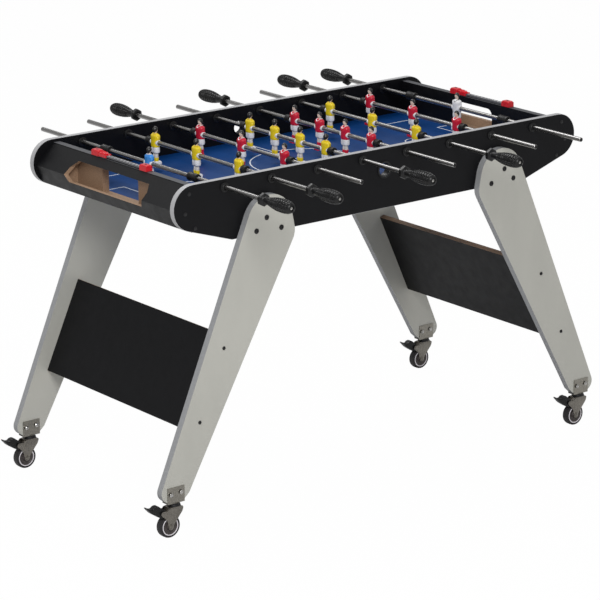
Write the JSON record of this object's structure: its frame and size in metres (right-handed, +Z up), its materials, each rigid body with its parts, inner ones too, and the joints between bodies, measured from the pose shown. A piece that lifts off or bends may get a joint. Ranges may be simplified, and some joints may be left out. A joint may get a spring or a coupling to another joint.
{
  "type": "foosball table",
  "caption": "Foosball table with a boat-shaped cabinet, sliding and turning player rods, end ball hatches, score counters, splayed legs and braked swivel casters.",
  "frame": {"origin": "on the floor, under the middle of the whole table", "axes": "+X along the table, +Y across it along the rods, +Z up"},
  "size_m": [1.5494, 1.228, 0.938],
  "materials": {
    "black_board": "black laminated board with pale grey edge banding",
    "raw_board": "raw brown fibreboard",
    "blue_field": "smooth printed blue laminate with white lines",
    "leg_board": "pale warm grey laminated board",
    "chrome_tube": "polished steel tube",
    "black_plastic": "moulded black plastic",
    "rubber": "black rubber",
    "tyre": "dark caster tyre",
    "steel": "plated sheet steel",
    "red_plastic": "red moulded plastic",
    "man_paint": "moulded and painted players",
    "edge_band": "pale grey edge banding"
  },
  "bodies": {
    "cabinet": {"side_panel_front": "black_board", "side_panel_back": "black_board", "playfield": "blue_field", "playfield_brace": "raw_board", "end_wall_left": "black_board", "end_apron_left": "black_board", "goal_tray_left": "raw_board", "leg_stretcher_left": "black_board", "scorer_bar_left": "red_plastic", "leg_front_left": "leg_board", "caster_bracket_front_left": "steel", "leg_back_left": "leg_board", "caster_bracket_back_left": "steel", "end_wall_right": "black_board", "end_apron_right": "black_board", "goal_tray_right": "raw_board", "leg_stretcher_right": "black_board", "scorer_bar_right": "red_plastic", "leg_front_right": "leg_board", "caster_bracket_front_right": "steel", "leg_back_right": "leg_board", "caster_bracket_back_right": "steel"},
    "rod_1_carriage": {"stop_ring_1": "rubber"},
    "rod_1": {"player_rod_1": "chrome_tube", "handle_1": "black_plastic"},
    "rod_2_carriage": {"stop_ring_2": "rubber"},
    "rod_2": {"player_rod_2": "chrome_tube", "handle_2": "black_plastic"},
    "rod_3_carriage": {"stop_ring_3": "rubber"},
    "rod_3": {"player_rod_3": "chrome_tube", "handle_3": "black_plastic"},
    "rod_4_carriage": {"stop_ring_4": "rubber"},
    "rod_4": {"player_rod_4": "chrome_tube", "handle_4": "black_plastic"},
    "rod_5_carriage": {"stop_ring_5": "rubber"},
    "rod_5": {"player_rod_5": "chrome_tube", "handle_5": "black_plastic"},
    "rod_6_carriage": {"stop_ring_6": "rubber"},
    "rod_6": {"player_rod_6": "chrome_tube", "handle_6": "black_plastic"},
    "rod_7_carriage": {"stop_ring_7": "rubber"},
    "rod_7": {"player_rod_7": "chrome_tube", "handle_7": "black_plastic"},
    "rod_8_carriage": {"stop_ring_8": "rubber"},
    "rod_8": {"player_rod_8": "chrome_tube", "handle_8": "black_plastic"},
    "caster_swivel_front_left": {"caster_fork_front_left": "steel"},
    "caster_wheel_front_left": {"caster_wheel_front_left": "tyre"},
    "caster_brake_front_left": {"caster_pedal_front_left": "black_plastic"},
    "caster_swivel_back_left": {"caster_fork_back_left": "steel"},
    "caster_wheel_back_left": {"caster_wheel_back_left": "tyre"},
    "caster_brake_back_left": {"caster_pedal_back_left": "black_plastic"},
    "caster_swivel_front_right": {"caster_fork_front_right": "steel"},
    "caster_wheel_front_right": {"caster_wheel_front_right": "tyre"},
    "caster_brake_front_right": {"caster_pedal_front_right": "black_plastic"},
    "caster_swivel_back_right": {"caster_fork_back_right": "steel"},
    "caster_wheel_back_right": {"caster_wheel_back_right": "tyre"},
    "caster_brake_back_right": {"caster_pedal_back_right": "black_plastic"},
    "pointer_left": {"scorer_pointer_left": "red_plastic"},
    "pointer_right": {"scorer_pointer_right": "red_plastic"}
  },
  "joints": [
    {"name": "rod_1_slide", "type": "slide", "parent": "cabinet", "child": "rod_1_carriage", "axis": [0, 1, 0], "range_m": [-0.0945, 0.0945]},
    {"name": "rod_1_spin", "type": "hinge", "parent": "rod_1_carriage", "child": "rod_1", "pos_m": [-0.5033, 0, 0.893], "axis": [0, 1, 0], "continuous": true},
    {"name": "rod_2_slide", "type": "slide", "parent": "cabinet", "child": "rod_2_carriage", "axis": [0, 1, 0], "range_m": [-0.0842, 0.0902]},
    {"name": "rod_2_spin", "type": "hinge", "parent": "rod_2_carriage", "child": "rod_2", "pos_m": [-0.3533, -0.003, 0.893], "axis": [0, 1, 0], "continuous": true},
    {"name": "rod_3_slide", "type": "slide", "parent": "cabinet", "child": "rod_3_carriage", "axis": [0, 1, 0], "range_m": [-0.0842, 0.0902]},
    {"name": "rod_3_spin", "type": "hinge", "parent": "rod_3_carriage", "child": "rod_3", "pos_m": [-0.2033, -0.003, 0.893], "axis": [0, 1, 0], "continuous": true},
    {"name": "rod_4_slide", "type": "slide", "parent": "cabinet", "child": "rod_4_carriage", "axis": [0, 1, 0], "range_m": [-0.0992, 0.1152]},
    {"name": "rod_4_spin", "type": "hinge", "parent": "rod_4_carriage", "child": "rod_4", "pos_m": [-0.0533, -0.008, 0.893], "axis": [0, 1, 0], "continuous": true},
    {"name": "rod_5_slide", "type": "slide", "parent": "cabinet", "child": "rod_5_carriage", "axis": [0, 1, 0], "range_m": [-0.0912, 0.1232]},
    {"name": "rod_5_spin", "type": "hinge", "parent": "rod_5_carriage", "child": "rod_5", "pos_m": [0.0967, -0.016, 0.893], "axis": [0, 1, 0], "continuous": true},
    {"name": "rod_6_slide", "type": "slide", "parent": "cabinet", "child": "rod_6_carriage", "axis": [0, 1, 0], "range_m": [-0.0822, 0.0922]},
    {"name": "rod_6_spin", "type": "hinge", "parent": "rod_6_carriage", "child": "rod_6", "pos_m": [0.2467, -0.005, 0.893], "axis": [0, 1, 0], "continuous": true},
    {"name": "rod_7_slide", "type": "slide", "parent": "cabinet", "child": "rod_7_carriage", "axis": [0, 1, 0], "range_m": [-0.0872, 0.0872]},
    {"name": "rod_7_spin", "type": "hinge", "parent": "rod_7_carriage", "child": "rod_7", "pos_m": [0.3967, 0, 0.893], "axis": [0, 1, 0], "continuous": true},
    {"name": "rod_8_slide", "type": "slide", "parent": "cabinet", "child": "rod_8_carriage", "axis": [0, 1, 0], "range_m": [-0.0785, 0.1105]},
    {"name": "rod_8_spin", "type": "hinge", "parent": "rod_8_carriage", "child": "rod_8", "pos_m": [0.5467, -0.016, 0.893], "axis": [0, 1, 0], "continuous": true},
    {"name": "caster_swivel_front_left", "type": "hinge", "parent": "cabinet", "child": "caster_swivel_front_left", "pos_m": [-0.6873, -0.3403, 0.083], "axis": [0, 0, 1], "continuous": true},
    {"name": "caster_roll_front_left", "type": "hinge", "parent": "caster_swivel_front_left", "child": "caster_wheel_front_left", "pos_m": [-0.7058, -0.3403, 0.031], "axis": [0, 1, 0], "continuous": true},
    {"name": "caster_brake_front_left", "type": "hinge", "parent": "caster_swivel_front_left", "child": "caster_brake_front_left", "pos_m": [-0.7292, -0.3403, 0.0715], "axis": [0, -1, 0], "range_deg": [0, 12]},
    {"name": "caster_swivel_back_left", "type": "hinge", "parent": "cabinet", "child": "caster_swivel_back_left", "pos_m": [-0.6873, 0.3403, 0.083], "axis": [0, 0, 1], "continuous": true},
    {"name": "caster_roll_back_left", "type": "hinge", "parent": "caster_swivel_back_left", "child": "caster_wheel_back_left", "pos_m": [-0.7058, 0.3403, 0.031], "axis": [0, 1, 0], "continuous": true},
    {"name": "caster_brake_back_left", "type": "hinge", "parent": "caster_swivel_back_left", "child": "caster_brake_back_left", "pos_m": [-0.7292, 0.3403, 0.0715], "axis": [0, -1, 0], "range_deg": [0, 12]},
    {"name": "caster_swivel_front_right", "type": "hinge", "parent": "cabinet", "child": "caster_swivel_front_right", "pos_m": [0.7307, -0.3403, 0.083], "axis": [0, 0, 1], "continuous": true},
    {"name": "caster_roll_front_right", "type": "hinge", "parent": "caster_swivel_front_right", "child": "caster_wheel_front_right", "pos_m": [0.7122, -0.3403, 0.031], "axis": [0, 1, 0], "continuous": true},
    {"name": "caster_brake_front_right", "type": "hinge", "parent": "caster_swivel_front_right", "child": "caster_brake_front_right", "pos_m": [0.6888, -0.3403, 0.0715], "axis": [0, -1, 0], "range_deg": [0, 12]},
    {"name": "caster_swivel_back_right", "type": "hinge", "parent": "cabinet", "child": "caster_swivel_back_right", "pos_m": [0.7307, 0.3403, 0.083], "axis": [0, 0, 1], "continuous": true},
    {"name": "caster_roll_back_right", "type": "hinge", "parent": "caster_swivel_back_right", "child": "caster_wheel_back_right", "pos_m": [0.7122, 0.3403, 0.031], "axis": [0, 1, 0], "continuous": true},
    {"name": "caster_brake_back_right", "type": "hinge", "parent": "caster_swivel_back_right", "child": "caster_brake_back_right", "pos_m": [0.6888, 0.3403, 0.0715], "axis": [0, -1, 0], "range_deg": [0, 12]},
    {"name": "pointer_left_slide", "type": "slide", "parent": "cabinet", "child": "pointer_left", "axis": [0, 1, 0], "range_m": [-0.1545, 0.0005]},
    {"name": "pointer_right_slide", "type": "slide", "parent": "cabinet", "child": "pointer_right", "axis": [0, 1, 0], "range_m": [-0.1545, 0.0005]}
  ]
}
